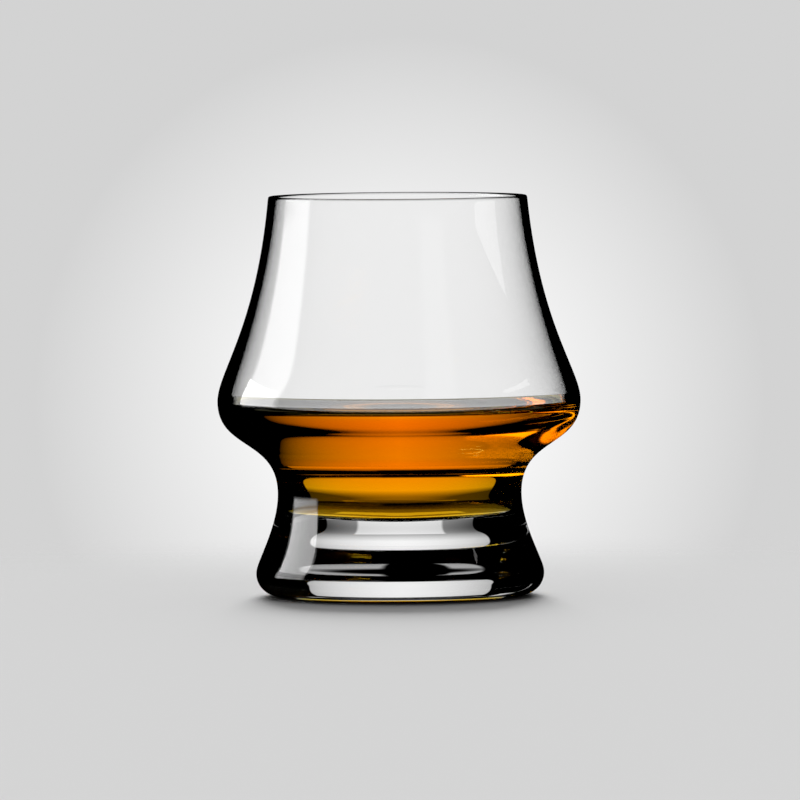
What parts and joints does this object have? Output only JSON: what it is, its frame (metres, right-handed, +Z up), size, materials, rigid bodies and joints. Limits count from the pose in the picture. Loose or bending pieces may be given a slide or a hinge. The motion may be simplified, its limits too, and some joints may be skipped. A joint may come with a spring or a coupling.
{
  "type": "whisky nosing glass",
  "caption": "Clear thick-walled nosing glass with a wide belly, narrow mouth and heavy solid foot, holding a pour of amber whisky.",
  "frame": {"origin": "centre of the flat base, on the surface that the glass stands on", "axes": "+Z up along the axis of the glass; X and Y are alike, because the glass is round"},
  "size_m": [0.0878, 0.0878, 0.0966],
  "materials": {
    "clear_glass": "polished",
    "foot_glass": "polished",
    "whisky": "clear liquid"
  },
  "bodies": {
    "root": {"bowl": "clear_glass", "foot": "foot_glass", "whisky": "whisky"}
  },
  "joints": []
}
